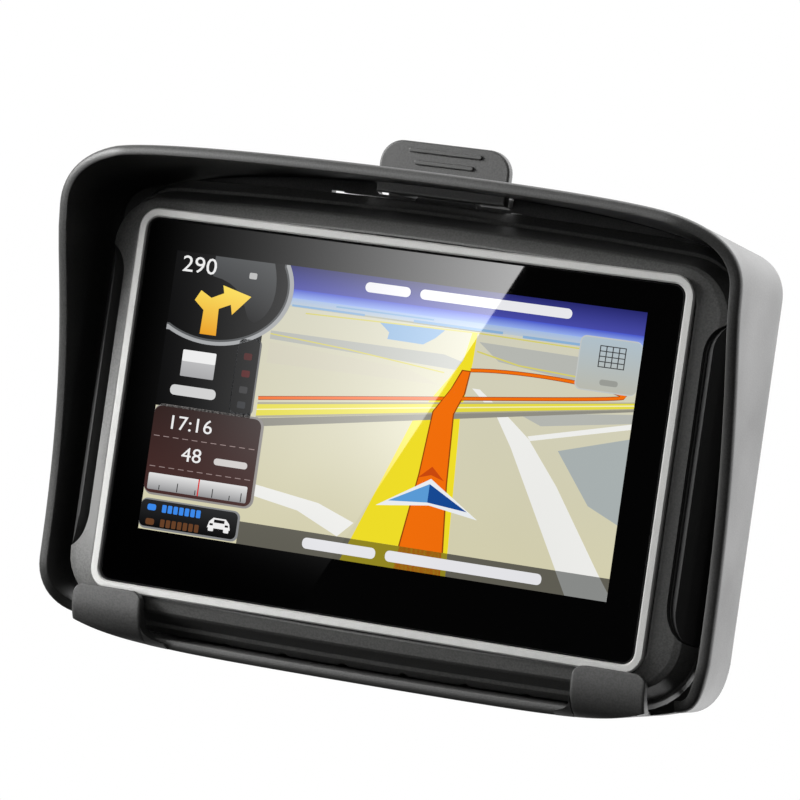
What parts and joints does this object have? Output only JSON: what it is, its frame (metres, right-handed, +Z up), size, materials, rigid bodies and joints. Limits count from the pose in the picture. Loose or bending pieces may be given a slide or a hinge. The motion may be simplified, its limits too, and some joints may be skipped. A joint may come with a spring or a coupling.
{
  "type": "portable navigator in a cradle",
  "caption": "Small rectangular navigation display in a snap-in cradle, shaded by a deep wrap-round hood, for fastening to a vehicle by its rear boss.",
  "frame": {"origin": "centre of the flat rear face of the cradle's mounting boss", "axes": "+X to the right seen from the front, across the screen; +Y backwards, out of the mounting face; +Z up the screen. The screen faces -Y."},
  "size_m": [0.1374, 0.0514, 0.1039],
  "materials": {
    "housing_plastic": "fine spark-textured moulded plastic, near black",
    "cradle_plastic": "fine-grained moulded plastic, dark grey",
    "hood_plastic": "satin moulded plastic, near black",
    "silver_trim": "satin silver paint",
    "cover_glass": "gloss cover glass with a black printed border",
    "display": null,
    "soft_rubber": "soft-touch moulded rubber",
    "steel": "bright spring steel",
    "dark_steel": "black-zinc screws",
    "circuit_board": "green solder resist",
    "battery_foil": "pouch-cell foil",
    "ceramic": "unglazed patch antenna ceramic",
    "black_plastic": "black moulded plastic",
    "gold_contact": "gold-plated contacts",
    "brass": "machined brass"
  },
  "bodies": {
    "root": {"front_housing": "housing_plastic", "rear_housing": "housing_plastic", "cradle": "cradle_plastic", "visor": "hood_plastic", "bezel_ring": "silver_trim", "touch_panel": "cover_glass", "lcd_panel": "display", "housing_gasket": "soft_rubber", "side_grip_right": "soft_rubber", "side_grip_left": "soft_rubber", "display_frame": "steel", "usb_socket": "steel", "card_socket": "steel", "latch_pin": "steel", "main_board": "circuit_board", "contact_board": "circuit_board", "battery_pack": "battery_foil", "gps_antenna": "ceramic", "speaker": "black_plastic", "power_switch": "black_plastic", "contact_block": "black_plastic", "power_inlet": "black_plastic", "case_screw_1": "dark_steel", "case_screw_2": "dark_steel", "case_screw_3": "dark_steel", "case_screw_4": "dark_steel", "visor_screw_1": "dark_steel", "visor_screw_2": "dark_steel", "visor_screw_3": "dark_steel", "visor_screw_4": "dark_steel", "contact_pad_1": "gold_contact", "contact_pad_2": "gold_contact", "contact_pad_3": "gold_contact", "contact_pad_4": "gold_contact", "mount_insert_1": "brass", "mount_insert_2": "brass", "mount_insert_3": "brass", "mount_insert_4": "brass"},
    "latch": {"release_latch": "cradle_plastic", "latch_spring": "steel"},
    "power_button": {"power_button": "soft_rubber"},
    "port_cover": {"port_cover": "soft_rubber"},
    "contact_pins": {"contact_pin_1": "gold_contact", "contact_pin_2": "gold_contact", "contact_pin_3": "gold_contact", "contact_pin_4": "gold_contact"}
  },
  "joints": [
    {"name": "latch_hinge", "type": "hinge", "parent": "root", "child": "latch", "pos_m": [0, -0.0094, 0.0473], "axis": [-1, 0, 0], "range_deg": [0, 16], "stiffness_Nm_per_rad": 0.05, "springref_deg": -28.65},
    {"name": "power_press", "type": "slide", "parent": "root", "child": "power_button", "axis": [0, 0, -1], "range_m": [0, 0.0006], "stiffness_N_per_m": 1500, "springref_m": -0.0005},
    {"name": "port_cover_hinge", "type": "hinge", "parent": "root", "child": "port_cover", "pos_m": [0.0273, -0.0116, -0.028], "axis": [0, 0, 1], "range_deg": [0, 100], "stiffness_Nm_per_rad": 0.002},
    {"name": "contact_press", "type": "slide", "parent": "root", "child": "contact_pins", "axis": [0, 1, 0], "range_m": [0, 0.0005], "stiffness_N_per_m": 2000, "springref_m": -0.0005}
  ]
}
